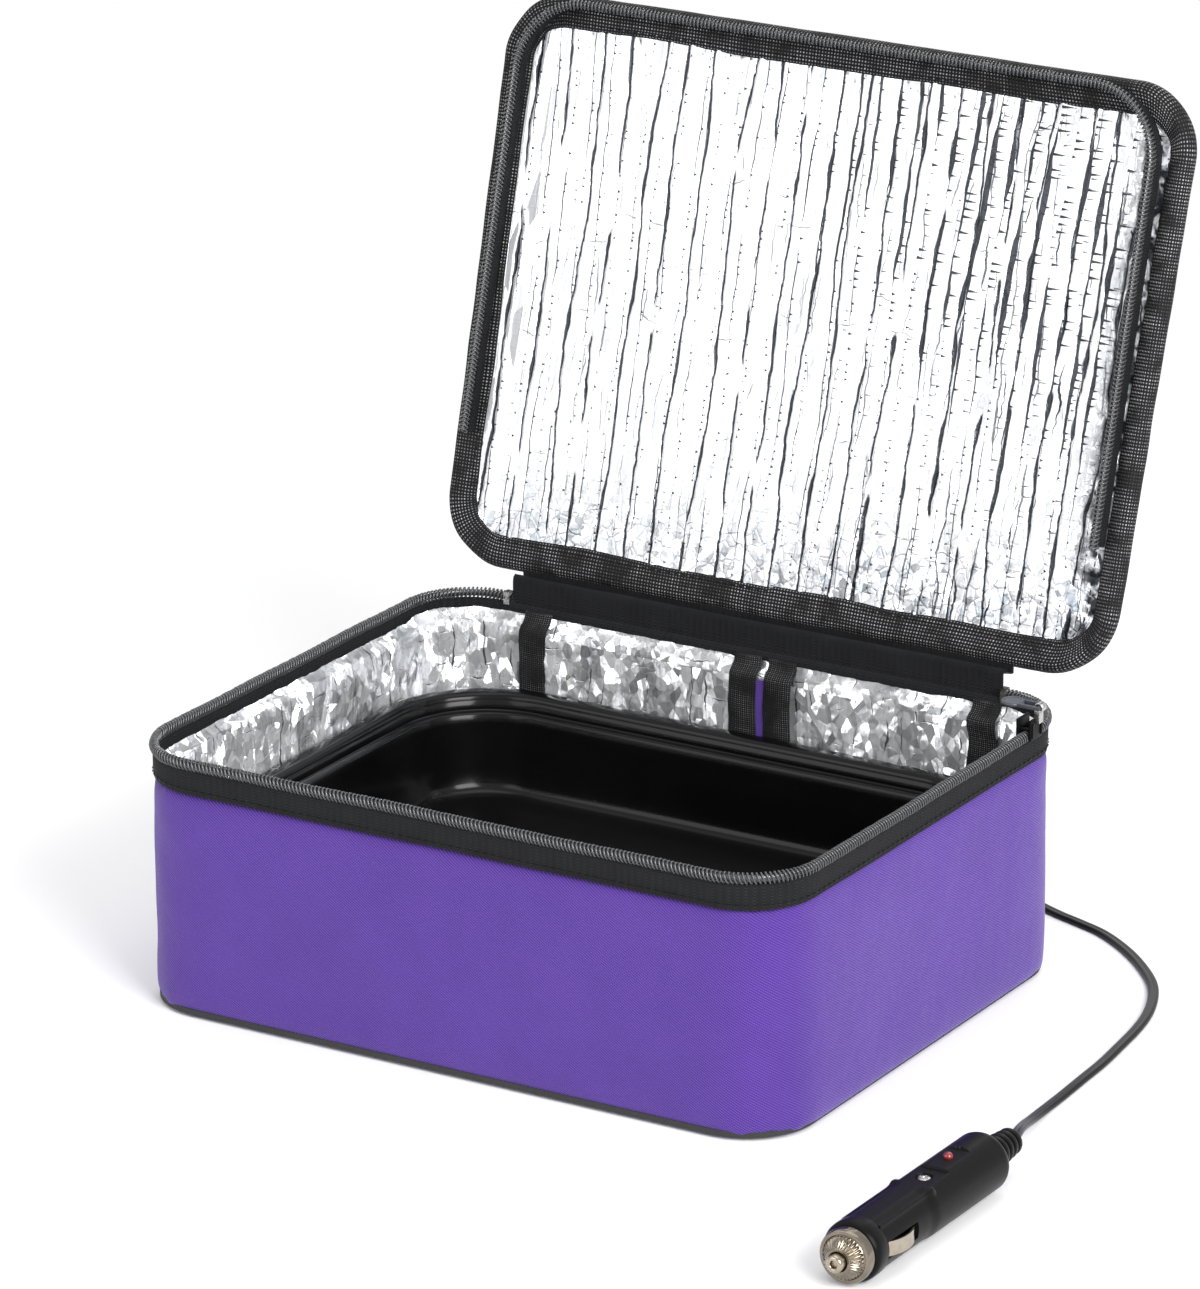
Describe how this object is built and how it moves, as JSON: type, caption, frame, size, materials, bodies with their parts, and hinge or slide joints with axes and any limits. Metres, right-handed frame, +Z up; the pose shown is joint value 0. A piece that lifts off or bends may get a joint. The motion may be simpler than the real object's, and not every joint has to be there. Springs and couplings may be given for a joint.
{
  "type": "soft-sided electric lunch box",
  "caption": "Soft-sided electric lunch box with a padded zip lid, lift-out heating plate and food tray, and a 12 V plug lead.",
  "frame": {"origin": "centre of the bag's base, on the surface it stands on", "axes": "+Z up; +Y towards the lid's hinge at the back; +X to the right seen from the front"},
  "size_m": [0.3443, 0.395, 0.2999],
  "materials": {
    "purple_fabric": "matte",
    "black_fabric": "matte",
    "foil": "polished",
    "foam": "matte",
    "board": "matte",
    "zip_plastic": "satin",
    "slider_metal": "satin",
    "pull_plastic": "satin",
    "frame_plastic": "textured",
    "plate_coating": "satin",
    "heater_film": "satin",
    "tray_coating": "gloss",
    "black_plastic": "satin",
    "rubber": "matte",
    "bright_metal": "polished",
    "steel": "satin",
    "fuse_glass": "clear",
    "red_lens": "clear"
  },
  "bodies": {
    "bag": {"base_cover": "black_fabric", "base_board": "board", "floor_pad": "foam", "floor_foil": "foil", "outer_shell": "purple_fabric", "front_pad": "foam", "back_pad": "foam", "left_pad": "foam", "right_pad": "foam", "front_foil": "foil", "left_foil": "foil", "right_foil": "foil", "back_lining": "purple_fabric", "back_panel_left": "foil", "back_panel_right": "foil", "panel_binding_left": "black_fabric", "panel_binding_right": "black_fabric", "rim_tape": "black_fabric", "zip_chain_lower": "zip_plastic", "zip_stops": "slider_metal", "bag_hinge_tape": "black_fabric", "lead_socket": "black_plastic", "lead_gland": "black_plastic", "cord_rear": "rubber", "cord_coil": "rubber", "coil_tie": "black_fabric", "cord_front": "rubber", "plug_strain_relief": "rubber", "plug_shell_top": "black_plastic", "plug_shell_bottom": "black_plastic", "plug_collar": "black_plastic", "nose_ring": "bright_metal", "pin_spring": "bright_metal", "plug_fuse": "fuse_glass", "indicator_lens": "red_lens", "plug_screw": "steel"},
    "lid": {"lid_foil": "foil", "lid_pad": "foam", "lid_cover": "purple_fabric", "lid_binding": "black_fabric", "lid_zip_tape": "black_fabric", "zip_chain_upper": "zip_plastic", "lid_hinge_tape": "black_fabric"},
    "zip_slider": {"zip_slider": "slider_metal"},
    "zip_pull": {"zip_pull": "pull_plastic"},
    "plate": {"plate_frame": "frame_plastic", "hot_plate": "plate_coating", "heater_mat": "heater_film", "thermostat": "black_plastic", "thermal_fuse": "steel", "insulation_mat": "foam", "bottom_cover": "frame_plastic", "cover_screws": "steel", "foot_pads": "rubber", "inlet_block": "black_plastic", "inlet_pins": "bright_metal"},
    "tray": {"food_tray": "tray_coating"},
    "plug_pin": {"centre_pin": "bright_metal"},
    "contact_left": {"contact_left": "bright_metal"},
    "contact_right": {"contact_right": "bright_metal"}
  },
  "joints": [
    {"name": "lid_hinge", "type": "hinge", "parent": "bag", "child": "lid", "pos_m": [0, 0.103, 0.1], "axis": [-1, 0, 0], "range_deg": [-106, 0]},
    {"name": "plate_lift", "type": "slide", "parent": "bag", "child": "plate", "axis": [0, 0, 1], "range_m": [0, 0.126]},
    {"name": "tray_lift", "type": "slide", "parent": "plate", "child": "tray", "axis": [0, 0, 1], "range_m": [0, 0.068]},
    {"name": "zip_slide", "type": "slide", "parent": "bag", "child": "zip_slider", "axis": [0, 1, 0], "range_m": [-0.14, 0]},
    {"name": "zip_pull_hinge", "type": "hinge", "parent": "zip_slider", "child": "zip_pull", "pos_m": [0.132, 0.07, 0.1032], "axis": [0, -1, 0], "range_deg": [-250, 0]},
    {"name": "plug_pin_press", "type": "slide", "parent": "bag", "child": "plug_pin", "axis": [0, -1, 0], "range_m": [-0.003, 0], "stiffness_N_per_m": 900, "springref_m": 0.002, "deforming": ["pin_spring"]},
    {"name": "contact_left_press", "type": "slide", "parent": "bag", "child": "contact_left", "axis": [-1, 0, 0], "range_m": [-0.0014, 0], "stiffness_N_per_m": 1500, "springref_m": 0.0008},
    {"name": "contact_right_press", "type": "slide", "parent": "bag", "child": "contact_right", "axis": [1, 0, 0], "range_m": [-0.0014, 0], "stiffness_N_per_m": 1500, "springref_m": 0.0008}
  ]
}
